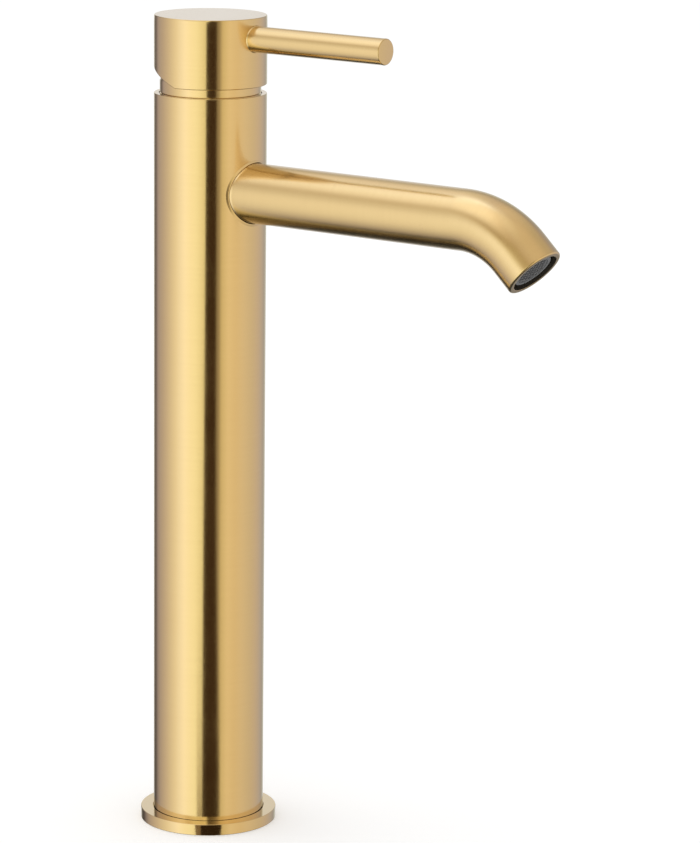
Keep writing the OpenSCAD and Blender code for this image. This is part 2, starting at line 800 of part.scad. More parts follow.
module handle_set_screw() {
    key_depth = 2;
    key_flats = 2.5;
    color(steel) translate([0, stem_half, screw_z]) backward() difference() {
        cylinder(r = screw_r, h = screw_len);
        translate([0, 0, screw_len - key_depth]) cylinder(r = key_flats / sqrt(3), h = key_depth + cut, $fn = 6);
    }
}

module handle_plug() {
    color(gold) translate([0, plug_end - plug_len, screw_z]) backward() cylinder(r = plug_r, h = plug_len);
}

column_tube();
base_flange();
base_gasket();
base_insert();
riser_hot();
riser_cold();
riser_o_rings();
valve_body();
spout();
spout_tip();
spout_nipple();
spout_o_rings();
aerator_housing();
aerator_grille();
aerator_diffuser();
aerator_seal();
cartridge_base();
port_seals();
disc_seals();
fixed_disc();
moving_disc();
disc_carriage();
cartridge_rotor();
stem_pin();
stem();
cartridge_housing();
cartridge_nut();
dome_cover();
handle_cap();
lever();
handle_set_screw();
handle_plug();
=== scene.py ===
"""Looks for a tall single-lever basin mixer.

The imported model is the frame. This file gives its outer parts finely broken edges and a brushed
gold finish, finishes the inner parts, and sets up a plain studio.
"""

import json
import math

import bmesh
import bpy
from mathutils import Matrix, Vector


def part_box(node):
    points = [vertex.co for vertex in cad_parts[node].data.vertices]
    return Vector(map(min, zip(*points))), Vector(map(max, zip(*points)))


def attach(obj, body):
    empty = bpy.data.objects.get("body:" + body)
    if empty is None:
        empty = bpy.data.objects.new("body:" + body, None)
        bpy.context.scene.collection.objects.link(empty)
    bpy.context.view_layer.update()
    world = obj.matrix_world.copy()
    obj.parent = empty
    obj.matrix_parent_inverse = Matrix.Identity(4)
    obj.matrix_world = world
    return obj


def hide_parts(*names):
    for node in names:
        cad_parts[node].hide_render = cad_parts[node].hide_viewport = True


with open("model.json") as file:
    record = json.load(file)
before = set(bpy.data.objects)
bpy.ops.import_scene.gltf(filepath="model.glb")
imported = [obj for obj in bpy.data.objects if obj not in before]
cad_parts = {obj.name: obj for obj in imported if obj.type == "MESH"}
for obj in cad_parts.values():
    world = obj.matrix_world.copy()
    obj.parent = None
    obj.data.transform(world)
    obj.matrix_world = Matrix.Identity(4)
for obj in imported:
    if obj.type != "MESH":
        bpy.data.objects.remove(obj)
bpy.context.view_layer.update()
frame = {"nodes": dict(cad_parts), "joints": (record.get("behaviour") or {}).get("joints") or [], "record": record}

bl_info = {
    "name": "Tall basin mixer",
    "version": (1, 0, 0),
    "blender": (4, 5, 0),
    "location": "3D View > Sidebar > Basin mixer",
    "description": "Builds the outer parts, finishes and studio of a tall basin mixer",
    "category": "Object",
}

MM = 0.001


def node_box(node):
    """Lowest and highest corner of a node, in millimetres."""
    low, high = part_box(node)
    return low / MM, high / MM


# The parts' sizes are in millimetres and degrees; the studio's are in metres and degrees.

COLUMN_LOW, COLUMN_HIGH = node_box("column_tube")
_, FOOT_HIGH = node_box("base_flange")
_, SPOUT_HIGH = node_box("spout")
COLLAR_LOW, COLLAR_HIGH = node_box("dome_cover")
HANDLE_LOW, HANDLE_HIGH = node_box("handle_cap")
LEVER_LOW, LEVER_HIGH = node_box("lever")
PLUG_LOW, PLUG_HIGH = node_box("handle_plug")

SPOUT_R = SPOUT_HIGH.x
SPOUT_Z = SPOUT_HIGH.z - SPOUT_R
LEVER_R = LEVER_HIGH.x
LEVER_Z = LEVER_HIGH.z - LEVER_R
PIVOT_Z = next(j for j in frame["joints"] if j["name"] == "lift")["pos_m"][2] / MM

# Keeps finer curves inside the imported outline
HAIR = 0.004

# Wall of the column's and the spout's tubes
TUBE_WALL = 2

# The spout's route
SPOUT_STRAIGHT = 122.8
BEND_R = 37.6
BEND_ANGLE = 43.6
SPOUT_END = 9.8

# The raised ring on the column round the spout: how far its crest stands off the spout, how far
# its slope spreads beyond that, its height, and the width of its crest
RING_OFF = 0.55
RING_SPREAD = 0.78
RING_HEIGHT = 0.22
RING_CREST = 0.2

# The small cone at the lever's root: how far its slope spreads, and its height
LEVER_CONE_SPREAD = 0.2
LEVER_CONE_HEIGHT = 0.5

# Depth of the lever's seat below the handle's wall
LEVER_SEAT = 1.7

# The handle's wedge cut: its angle, and where it starts behind the axis
WEDGE_ANGLE = 22
WEDGE_START = 0.5

# Brushing: length of a line, and depth of the relief, in metres
LINE_LENGTH = 0.018
LINE_RELIEF = 0.00002

# The clear coat on the gold
COAT_ROUGHNESS = 0.12
COAT_IOR = 1.5

# The camera: its place in millimetres, its level direction, and its turns in degrees
CAMERA_PLACE = (-1239.7, -966.8, 508.9)
CAMERA_LEVEL = (0.78855, 0.61497)
CAMERA_YAW = 2.073
CAMERA_PITCH = 12.277
CAMERA_ROLL = 0.62
CAMERA_LENS = 169.687
CAMERA_SENSOR = 36
CAMERA_CLIP = (0.05, 60)

# The floor: its radius, how far it lies below the foot, and the scale of its grain
FLOOR_R = 14
FLOOR_DROP = 0.0001
FLOOR_GRAIN = 400.0

# Levels of the air and of the floor's lift, where 1 is white
WORLD_LEVEL = 0.88
FLOOR_LIFT = 0.25

# The lamp: its power in watts, its side, its turn and climb, its distance and what it lights
LAMP_WATTS = 6.0
LAMP_SIZE = 1.6
LAMP_WAY = (-119, 51)
LAMP_AWAY = 2.2
LAMP_TARGET = (0, -0.06, 0.27)

# The tent that the metal mirrors: a sphere, its radius and the height of its centre.
# Turns are to the right of the camera, climbs are above the horizon.
TENT_R, TENT_Z = 2.6, 0.2
# The brightest level that the tables below may hold
TENT_PEAK = 2.0
# Colour of the walls by turn
TENT_WALLS = (
    (-180, (0.859, 0.861, 0.882)), (-166, (0.781, 0.753, 0.711)), (-159, (0.223, 0.208, 0.192)),
    (-150, (0.137, 0.123, 0.116)), (-143, (0.193, 0.164, 0.172)), (-134, (0.403, 0.347, 0.371)),
    (-125, (0.462, 0.402, 0.401)), (-113, (0.526, 0.453, 0.43)), (-97, (0.657, 0.572, 0.502)),
    (-85, (0.778, 0.697, 0.571)), (-74, (0.904, 0.816, 0.652)), (-65, (0.999, 0.93, 0.79)),
    (-56, (1.093, 1.018, 0.867)), (-52, (1.132, 1.061, 0.878)), (-40, (1.097, 1.021, 0.766)),
    (-29, (1.059, 0.999, 0.705)), (-12, (0.888, 0.799, 0.497)), (-6, (1.059, 0.976, 0.646)),
    (0, (0.079, 0.059, 0.032)), (13, (0.236, 0.182, 0.101)), (19, (0.368, 0.293, 0.181)),
    (24, (0.706, 0.582, 0.329)), (38, (0.844, 0.698, 0.46)), (55, (0.794, 0.643, 0.421)),
    (72, (0.761, 0.638, 0.469)), (96, (0.669, 0.576, 0.46)), (113, (0.623, 0.534, 0.481)),
    (134, (0.516, 0.47, 0.483)), (150, (0.396, 0.379, 0.385)), (162, (0.615, 0.626, 0.578)),
    (172, (0.727, 0.728, 0.724)), (180, (0.859, 0.861, 0.882)),
)
# Level of the walls by climb: the fade to the floor, and the fade to the roof
TENT_LOW = (
    (-90, 0.08), (-60, 0.1), (-54, 0.2), (-50, 0.38), (-44, 0.61), (-37, 0.8), (-28, 0.93),
    (-19, 0.98), (-10, 1.0),
)
TENT_HIGH = (
    (4, (1.0, 1.0, 1.0)), (12, (0.96, 0.96, 0.96)), (20, (0.87, 0.86, 0.85)),
    (29, (0.80, 0.78, 0.75)), (36, (0.71, 0.66, 0.60)), (44, (0.58, 0.51, 0.42)),
    (52, (0.46, 0.39, 0.30)), (60, (0.38, 0.31, 0.23)),
)
# How much faster the walls fade towards the floor and towards the roof, by turn
TENT_LOW_FADE = (
    (-180, 0.4), (-170, 0.62), (-160, 0.92), (-150, 1.0), (-141, 1.0), (-131, 0.8), (-122, 0.4),
    (-114, 0.1), (-104, -0.08), (-93, -0.14), (-75, -0.08), (-50, -0.05), (0, 0.0), (180, 0.4),
)
TENT_HIGH_FADE = (
    (-180, 0.5), (-168, 0.45), (-150, 0.1), (-78, 0.0), (-66, 0.25), (-58, 0.6), (-51, 1.06),
    (-46, 1.5), (-38, 1.5), (-30, 1.05), (-15, 0.6), (5, 0.0), (150, 0.1), (165, 0.45),
    (180, 0.5),
)
# Climb over which the walls give way to the roof
TENT_SPLIT = ((24, 0.0), (44, 1.0))
# The roof's glow: its middle, its level by the angle from there, and its tint by turn
TENT_ROOF_AT = (-75, 66)
TENT_ROOF = (
    (0.0, (1.14, 1.029, 0.864)), (12.0, (1.116, 1.01, 0.845)), (18.0, (1.046, 0.944, 0.792)),
    (22.0, (0.959, 0.859, 0.716)), (28.0, (0.802, 0.708, 0.573)), (33.0, (0.723, 0.623, 0.487)),
    (38.0, (0.652, 0.544, 0.41)), (45.0, (0.645, 0.531, 0.382)), (55.0, (0.598, 0.492, 0.348)),
    (65.0, (0.519, 0.433, 0.305)), (80.0, (0.471, 0.393, 0.286)), (180.0, (0.393, 0.328, 0.238)),
)
TENT_ROOF_TINT = (
    (-180, (1.16, 1.26, 1.42)), (-173, (1.25, 1.35, 1.58)), (-165, (1.35, 1.45, 1.75)),
    (-154, (1.4, 1.55, 1.85)), (-138, (1.35, 1.5, 1.75)), (-121, (1.18, 1.22, 1.33)),
    (-105, (1.08, 1.15, 1.25)), (-92, (1.02, 1.04, 1.08)), (-80, (1.0, 1.0, 1.0)),
    (-60, (1.04, 1.04, 1.04)), (-45, (1.1, 1.08, 1.04)), (-34, (0.98, 0.92, 0.82)),
    (-24, (0.86, 0.8, 0.72)), (-10, (0.95, 0.92, 0.86)), (10, (1.02, 1.0, 0.92)),
    (60, (1.06, 1.04, 1.0)), (100, (1.0, 1.0, 1.0)), (132, (1.1, 1.12, 1.2)),
    (145, (1.15, 1.15, 1.2)), (156, (1.0, 1.02, 1.25)), (180, (1.16, 1.26, 1.42)),
)
# The dark stand in front of the tent's wall: its distance, and its cards as (turn, height)
STAND_AT = 2.2
STAND_CARDS = (
    (
        "dark_stand",
        (
            (-8.6, 0.33), (-8.6, 0.10), (-9.6, -0.165), (-11.6, -0.38), (-12.8, -0.60),
            (-13, -0.71), (23, -0.71), (18.5, -0.60), (12.7, -0.38), (12.5, -0.165), (12.5, 0.10),
            (13, 0.33),
        ),
        (0.042, 0.021, 0.009),
    ),
    (
        "stand_base",
        ((-13, -0.71), (-13, -1.15), (36, -1.15), (32, -0.71)),
        (0.028, 0.016, 0.007),
    ),
    (
        "stand_shoe",
        ((-32, -0.71), (-32, -1.15), (-13, -1.15), (-13, -0.71)),
        (0.187, 0.122, 0.062),
    ),
)


# ---------- sizes and colours

AS_LENGTH = {"precision": 5, "unit": "LENGTH", "subtype": "DISTANCE"}
AS_COLOUR = {"size": 3, "min": 0, "max": 1, "subtype": "COLOR"}


class MixerSizes(bpy.types.PropertyGroup):
    """Sizes of the finishing work on the parts, in metres."""

    fine_edge: bpy.props.FloatProperty(
        name="Fine edge",
        description="Rounding of the outer parts' sharp edges",
        default=0.22 * MM,
        min=0.05 * MM,
        max=0.5 * MM,
        **AS_LENGTH,
    )
    crown_edge: bpy.props.FloatProperty(
        name="Handle's top edge",
        description="Rounding of the handle's top edge",
        default=0.3 * MM,
        min=0.1 * MM,
        max=0.6 * MM,
        **AS_LENGTH,
    )
    mouth_round: bpy.props.FloatProperty(
        name="Mouth rounding",
        description="Rounding of the spout's outer edge at its mouth",
        default=0.8 * MM,
        min=0.3 * MM,
        max=1.0 * MM,
        **AS_LENGTH,
    )
    hole_gap: bpy.props.FloatProperty(
        name="Gap round the spout",
        description="Gap between the spout and the edge of the column's hole",
        default=0.7 * MM,
        min=0.4 * MM,
        max=0.8 * MM,
        **AS_LENGTH,
    )
    lip: bpy.props.FloatProperty(
        name="Lip at the spout's root",
        description="Height of the small cone round the spout where it leaves the column",
        default=0.17 * MM,
        min=0.05 * MM,
        max=0.2 * MM,
        **AS_LENGTH,
    )
    skirt_edge: bpy.props.FloatProperty(
        name="Handle's lower edge",
        description="Rounding of the handle's lower edge and of its wedge cut",
        default=0.45 * MM,
        min=0.1 * MM,
        max=0.6 * MM,
        **AS_LENGTH,
    )
    brush_line: bpy.props.FloatProperty(
        name="Brushing line",
        description="Width of one line of the brushed finish",
        default=0.16 * MM,
        min=0.03 * MM,
        max=1.0 * MM,
        **AS_LENGTH,
    )


class MixerColours(bpy.types.PropertyGroup):
    """Colours of the finishes."""

    gold: bpy.props.FloatVectorProperty(
        name="Gold",
        description="Colour of the brushed gold coating",
        default=(0.90, 0.725, 0.42),
        **AS_COLOUR,
    )
    gold_deep: bpy.props.FloatVectorProperty(
        name="Gold in the brushing",
        description="Colour of the coating at the bottom of the brushing lines",
        default=(0.88, 0.700, 0.40),
        **AS_COLOUR,
    )
    brass: bpy.props.FloatVectorProperty(
        name="Machined brass",
        description="Colour of the bare brass inside",
        default=(0.60, 0.42, 0.17),
        **AS_COLOUR,
    )
    copper: bpy.props.FloatVectorProperty(
        name="Copper pipe",
        description="Colour of the riser pipes",
        default=(0.62, 0.30, 0.17),
        **AS_COLOUR,
    )
    aerator: bpy.props.FloatVectorProperty(
        name="Aerator plastic",
        description="Colour of the aerator and the cartridge's shell",
        default=(0.235, 0.24, 0.245),
        **AS_COLOUR,
    )
    floor: bpy.props.FloatVectorProperty(
        name="Floor",
        description="Colour of the studio floor",
        default=(0.86, 0.86, 0.86),
        **AS_COLOUR,
    )


# ---------- shader building


class Nodes:
    """Places nodes in a tree from left to right and links them."""

    def __init__(self, tree):
        self.tree = tree
        self.column = 0

    def put(self, value, socket):
        """Links another node's socket to this one, or gives it a value."""
        if isinstance(value, bpy.types.NodeSocket):
            self.tree.links.new(value, socket)
        elif socket.type == "RGBA":
            socket.default_value = (*value, 1)[:4]
        else:
            socket.default_value = value

    def add(self, kind, inputs=None, **settings):
        """A node of this kind. Inputs are values or other nodes' sockets, by name or number."""
        node = self.tree.nodes.new(kind)
        node.location = (200 * self.column, -160 * (self.column % 4))
        self.column += 1
        for name, value in settings.items():
            setattr(node, name, value)
        for name, value in (inputs or {}).items():
            self.put(value, node.inputs[name])
        return node

    def math(self, operation, *values):
        """What a Math node makes of these values."""
        return self.add("ShaderNodeMath", dict(enumerate(values)), operation=operation).outputs[0]

    def vector(self, operation, *values):
        """What a Vector Math node makes of these values."""
        node = self.add("ShaderNodeVectorMath", dict(enumerate(values)), operation=operation)
        return node.outputs["Value" if operation in ("LENGTH", "DOT_PRODUCT") else "Vector"]

    def on_piece(self):
        """The place on the piece, in metres."""
        return self.add("ShaderNodeTexCoord").outputs["Object"]

    def noise(self, place, scale, detail=2.0, roughness=0.5):
        """A grey noise."""
        inputs = {"Vector": place, "Scale": scale, "Detail": detail, "Roughness": roughness}
        return self.add("ShaderNodeTexNoise", inputs).outputs["Fac"]

    def ramp(self, fac, stops, interpolation="LINEAR"):
        """A colour ramp; stops are (position, grey or colour)."""
        node = self.add("ShaderNodeValToRGB", {0: fac})
        node.color_ramp.interpolation = interpolation
        elements = node.color_ramp.elements
        while len(elements) < len(stops):
            elements.new(0.5)
        for element, (position, colour) in zip(elements, stops):
            element.position = position
            if isinstance(colour, (int, float)):
                colour = (colour,) * 3
            element.color = (*colour, 1)
        return node.outputs["Color"]

    def mix(self, fac, a, b, blend="MIX"):
        """Colour a where fac is 0; where it is 1, colour b, or a blended with b."""
        inputs = {0: fac, 6: a, 7: b}
        return self.add("ShaderNodeMix", inputs, data_type="RGBA", blend_type=blend).outputs[2]

    def times(self, a, b):
        """Colour a multiplied by colour b."""
        return self.mix(1.0, a, b, "MULTIPLY")

    def span(self, value, low, high):
        """Maps 0..1 to low..high."""
        inputs = {"Value": value, "To Min": low, "To Max": high}
        return self.add("ShaderNodeMapRange", inputs).outputs["Result"]


FLOAT, COLOUR, VECTOR = "NodeSocketFloat", "NodeSocketColor", "NodeSocketVector"


def new_group(name, inputs):
    """A node group that puts out a colour, a roughness and a height, from (name, kind, default).

    Gives back (tree, nodes, its inputs as sockets)."""
    tree = bpy.data.node_groups.new(name, "ShaderNodeTree")
    for label, kind, default in inputs:
        socket = tree.interface.new_socket(label, in_out="INPUT", socket_type=kind)
        if default is not None:
            socket.default_value = default
    for label, kind in (("Color", COLOUR), ("Roughness", FLOAT), ("Height", FLOAT)):
        tree.interface.new_socket(label, in_out="OUTPUT", socket_type=kind)
    n = Nodes(tree)
    return tree, n, n.add("NodeGroupInput").outputs


def turned_brushing_group():
    """Fine lines round the Z axis, as a turned part gets them, with soft patches of handling."""
    tree, n, given = new_group(
        "Turned brushing",
        [
            ("Vector", VECTOR, None),
            ("Line width", FLOAT, 0.00016),
            ("Line length", FLOAT, LINE_LENGTH),
            ("Dark", COLOUR, (0.6, 0.4, 0.15, 1)),
            ("Light", COLOUR, (0.7, 0.47, 0.19, 1)),
            ("Rough low", FLOAT, 0.2),
            ("Rough high", FLOAT, 0.3),
        ],
    )
    fine_share, coarse_share, patch_share, patch_scale = 0.6, 0.4, 0.18, 42.0
    flat = n.vector("MULTIPLY", given["Vector"], (1, 1, 0))
    radius = n.vector("LENGTH", flat)
    per_length = n.math("DIVIDE", radius, given["Line length"])
    round_part = n.vector("MULTIPLY", n.vector("NORMALIZE", flat), per_length)
    apart = n.add("ShaderNodeSeparateXYZ", {0: given["Vector"]})
    climb = n.math("SUBTRACT", apart.outputs["Z"], radius)
    lines_at = n.math("DIVIDE", climb, given["Line width"])
    climb_part = n.add("ShaderNodeCombineXYZ", {2: lines_at}).outputs[0]
    place = n.vector("ADD", round_part, climb_part)
    fine = n.noise(place, 1.0, roughness=0.6)
    coarse = n.noise(n.vector("MULTIPLY", place, (0.6, 0.6, 0.22)), 1.0, detail=3.0)
    lines = n.math(
        "ADD", n.math("MULTIPLY", fine, fine_share), n.math("MULTIPLY", coarse, coarse_share)
    )
    patches = n.noise(given["Vector"], patch_scale, detail=3.0, roughness=0.55)
    soft = n.ramp(patches, [(0.35, 0.0), (0.68, 1.0)], "EASE")
    tone = n.ramp(lines, [(0.3, 0.0), (0.62, 1.0)])
    shade = n.math("MULTIPLY_ADD", soft, patch_share, n.math("MULTIPLY", tone, 1 - patch_share))
    colour = n.mix(shade, given["Dark"], given["Light"])
    # The bottoms of the lines are rougher than their tops, and so are the patches
    wear = n.math("ADD", n.math("MULTIPLY", tone, -0.5), n.math("MULTIPLY", soft, 0.35))
    rough = n.span(n.math("ADD", wear, 0.55), given["Rough low"], given["Rough high"])
    n.add("NodeGroupOutput", {"Color": colour, "Roughness": rough, "Height": lines})
    return tree


def fine_grain_group():
    """A fine even grain with slow drifts of tone, as on moulded, fired or cut surfaces."""
    tree, n, given = new_group(
        "Fine grain",
        [
            ("Vector", VECTOR, None),
            ("Grain size", FLOAT, 0.0005),
            ("Dark", COLOUR, (0.2, 0.2, 0.2, 1)),
            ("Light", COLOUR, (0.3, 0.3, 0.3, 1)),
            ("Rough low", FLOAT, 0.35),
            ("Rough high", FLOAT, 0.5),
        ],
    )
    grain_share, drift_share, drift_scale = 0.55, 0.45, 60.0
    grain = n.noise(given["Vector"], n.math("DIVIDE", 1.0, given["Grain size"]), roughness=0.6)
    drift = n.noise(given["Vector"], drift_scale)
    fac = n.math(
        "ADD", n.math("MULTIPLY", grain, grain_share), n.math("MULTIPLY", drift, drift_share)
    )
    shade = n.ramp(fac, [(0.3, 0.0), (0.7, 1.0)])
    colour = n.mix(shade, given["Dark"], given["Light"])
    rough = n.span(shade, given["Rough low"], given["Rough high"])
    n.add("NodeGroupOutput", {"Color": colour, "Roughness": rough, "Height": grain})
    return tree


def group(name):
    """A shared node group, built the first time that a finish uses it."""
    builders = {"Turned brushing": turned_brushing_group, "Fine grain": fine_grain_group}
    return bpy.data.node_groups.get(name) or builders[name]()


def new_material(name, kind):
    """A material with only a shader of this kind: (material, nodes, the shader's inputs)."""
    material = bpy.data.materials.new(name)
    material.use_nodes = True
    material.node_tree.nodes.clear()
    n = Nodes(material.node_tree)
    shader = n.add(kind)
    n.add("ShaderNodeOutputMaterial", {"Surface": shader.outputs[0]})
    return material, n, shader.inputs


def patterned(n, shader, pattern, inputs, light, dark, rough, strength, relief):
    """Gives a shader the colour, roughness and fine relief of a shared pattern."""
    inputs = {**inputs, "Light": light, "Dark": dark, "Rough low": rough[0], "Rough high": rough[1]}
    made = n.add("ShaderNodeGroup", inputs, node_tree=group(pattern)).outputs
    n.put(made["Color"], shader["Base Color"])
    n.put(made["Roughness"], shader["Roughness"])
    bump = {"Height": made["Height"], "Strength": strength, "Distance": relief}
    n.put(n.add("ShaderNodeBump", bump).outputs["Normal"], shader["Normal"])


def brushed_metal(name, light, dark, line, rough, place, coat=0.0, strength=0.25):
    """A turned and brushed metal.

    place is the turning axis, as (a point on it in metres, its turn in radians), or the name of
    the piece's own attribute that holds the place on a straight part turned round Z."""
    material, n, shader = new_material(name, "ShaderNodeBsdfPrincipled")
    if isinstance(place, str):
        source = n.add("ShaderNodeAttribute", attribute_name=place).outputs["Vector"]
    else:
        centre, turned = place
        moved = n.vector("SUBTRACT", n.on_piece(), centre)
        source = n.add("ShaderNodeMapping", {"Vector": moved, "Rotation": turned}).outputs[0]
    inputs = {"Vector": source, "Line width": line, "Line length": LINE_LENGTH}
    patterned(n, shader, "Turned brushing", inputs, light, dark, rough, strength, LINE_RELIEF)
    n.put(1.0, shader["Metallic"])
    n.put(coat, shader["Coat Weight"])
    n.put(COAT_ROUGHNESS, shader["Coat Roughness"])
    n.put(COAT_IOR, shader["Coat IOR"])
    return material


def grained(name, light, dark, grain, rough, strength=0.2, coat=0.0):
    """A moulded, fired or cast surface with a fine grain."""
    material, n, shader = new_material(name, "ShaderNodeBsdfPrincipled")
    inputs = {"Vector": n.on_piece(), "Grain size": grain}
    patterned(n, shader, "Fine grain", inputs, light, dark, rough, strength, grain * 0.1)
    n.put(coat, shader["Coat Weight"])
    return material


def shaded(colour, level):
    """A colour taken down to this level."""
    return tuple(level * c for c in colour)


# ---------- mesh building

# Points that are closer than this are joined: after turning a shape, and after a cut
TURN_WELD = 0.002
CUT_WELD = 0.004


def face_out(bm):
    """Makes the faces of a closed shape point outwards."""
    bmesh.ops.recalc_face_normals(bm, faces=bm.faces[:])
    if bm.calc_volume(signed=True) < 0:
        bmesh.ops.reverse_faces(bm, faces=bm.faces[:])


def turn(points, steps, soft=()):
    """A closed shape turned round the Z axis from an outline of (radius, height) in mm.

    An outline that starts and ends on the axis gives a solid, any other a ring. soft holds the
    corners to round, as (point's number, radius, segments)."""
    bm = bmesh.new()
    verts = [bm.verts.new((r * MM, 0, z * MM)) for r, z in points]
    bm.faces.new(verts)
    places = {number: verts[number].co.copy() for number, _, _ in soft}
    for number, radius, segments in soft:
        corner = min(bm.verts, key=lambda v: (v.co - places[number]).length)
        bmesh.ops.bevel(
            bm,
            geom=[corner],
            offset=radius * MM,
            offset_type="OFFSET",
            segments=segments,
            profile=0.5,
            affect="VERTICES",
            material=-1,
            clamp_overlap=False,
        )
    bmesh.ops.delete(bm, geom=bm.faces[:], context="FACES_ONLY")
    on_axis = [e for e in bm.edges if all(abs(v.co.x) < 1e-7 for v in e.verts)]
    bmesh.ops.delete(bm, geom=on_axis, context="EDGES")
    bmesh.ops.spin(
        bm,
        geom=bm.verts[:] + bm.edges[:],
        cent=(0, 0, 0),
        axis=(0, 0, 1),
        dvec=(0, 0, 0),
        angle=2 * math.pi,
        steps=steps,
        use_merge=True,
    )
    bmesh.ops.remove_doubles(bm, verts=bm.verts[:], dist=TURN_WELD * MM)
    face_out(bm)
    return bm


def rod(radius, start, end, steps, soft=()):
    """A round rod on the Z axis, in mm."""
    return turn([(0, start), (radius, start), (radius, end), (0, end)], steps, soft)


def laid(bm, height, y=0, quarter=1):
    """Turns what is built along +Z so that it points forward, to -Y, or back with quarter=-1.

    Its start is moved to this y and this height, in mm."""
    place = Matrix.Translation((0, y * MM, height * MM))
    matrix = place @ Matrix.Rotation(quarter * math.pi / 2, 4, "X")
    bmesh.ops.transform(bm, matrix=matrix, verts=bm.verts[:])
    return bm


def root_cone(crest_r, wall_r, spread, rise, height, crest=0.3):
    """A low cone ring on a round wall, where a rod that points forward leaves it, in mm.

    It rises from spread beyond crest_r, and its crest is rise above the wall."""
    inner, outer, bottom, toe, crest_edge = crest_r - crest, crest_r + spread, -0.6, -0.03, 0.12
    outline = [(inner, bottom), (outer, bottom), (outer, toe), (crest_r + 0.01, rise)]
    outline += [(inner, rise)]
    ring = turn(outline, 192, [(3, crest_edge, 3)])
    for v in ring.verts:
        v.co.z += math.sqrt((wall_r * MM) ** 2 - v.co.x**2)
    return laid(ring, height)


def carve(bm, *tools):
    """Takes the closed shapes away from bm and returns what is left."""
    scene = bpy.context.scene
    made = []
    for shape in (bm, *tools):
        mesh = bpy.data.meshes.new("workpiece")
        shape.to_mesh(mesh)
        shape.free()
        obj = bpy.data.objects.new("workpiece", mesh)
        scene.collection.objects.link(obj)
        made.append(obj)
    for tool in made[1:]:
        modifier = made[0].modifiers.new("cut", "BOOLEAN")
        modifier.operation = "DIFFERENCE"
        modifier.solver = "EXACT"
        modifier.object = tool
    graph = bpy.context.evaluated_depsgraph_get()
    result = bmesh.new()
    result.from_mesh(made[0].evaluated_get(graph).to_mesh())
    for obj in made:
        mesh = obj.data
        bpy.data.objects.remove(obj)
        bpy.data.meshes.remove(mesh)
    bmesh.ops.remove_doubles(result, verts=result.verts[:], dist=CUT_WELD * MM)
    bmesh.ops.dissolve_degenerate(result, edges=result.edges[:], dist=CUT_WELD * MM)
    return result


def add_shell(bm, other):
    """Adds a closed shape to bm as a shell of its own."""
    mesh = bpy.data.meshes.new("shell")
    other.to_mesh(mesh)
    other.free()
    bm.from_mesh(mesh)
    bpy.data.meshes.remove(mesh)


def round_edges(bm, chosen, radius, segments):
    """Rounds the edges that chosen(edge) picks; radius in mm."""
    edges = [e for e in bm.edges if len(e.link_faces) == 2 and chosen(e)]
    if not edges:
        raise RuntimeError("no edge to round")
    bmesh.ops.bevel(
        bm,
        geom=edges,
        offset=radius * MM,
        offset_type="OFFSET",
        segments=segments,
        profile=0.5,
        affect="EDGES",
        material=-1,
        clamp_overlap=True,
    )


def round_hole(bm, wall_r, hole_r, height, radius, segments):
    """Rounds the outer edge of the hole that points forward through a round wall, in mm."""
    wall_slack, hole_slack = 0.05, 0.02

    def at_hole(e):
        return all(
            v.co.y < 0
            and v.co.xy.length > (wall_r - wall_slack) * MM
            and abs(math.hypot(v.co.x, v.co.z - height * MM) - hole_r * MM) < hole_slack * MM
            for v in e.verts
        )

    round_edges(bm, at_hole, radius, segments)


def make_piece(name, bm, finish, body, replaced, sharp=40, painted_shade_finish=None):
    """Turns bm into a finished gold piece that rides on a body and stands for CAD nodes."""
    mesh = bpy.data.meshes.new(name)
    bm.to_mesh(mesh)
    bm.free()
    for polygon in mesh.polygons:
        polygon.use_smooth = True
    mesh.set_sharp_from_angle(angle=math.radians(sharp))
    mesh.materials.append(bpy.data.materials[finish])
    # A second finish for the faces numbered 1; on the spout it is the near-black painted shade of the bore
    if painted_shade_finish:
        mesh.materials.append(bpy.data.materials[painted_shade_finish])
    obj = bpy.data.objects.new(name, mesh)
    bpy.context.scene.collection.objects.link(obj)
    weighted = obj.modifiers.new("Even shading", "WEIGHTED_NORMAL")
    weighted.keep_sharp = True
    weighted.weight = 80
    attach(obj, body)
    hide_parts(*replaced)


# ---------- operators


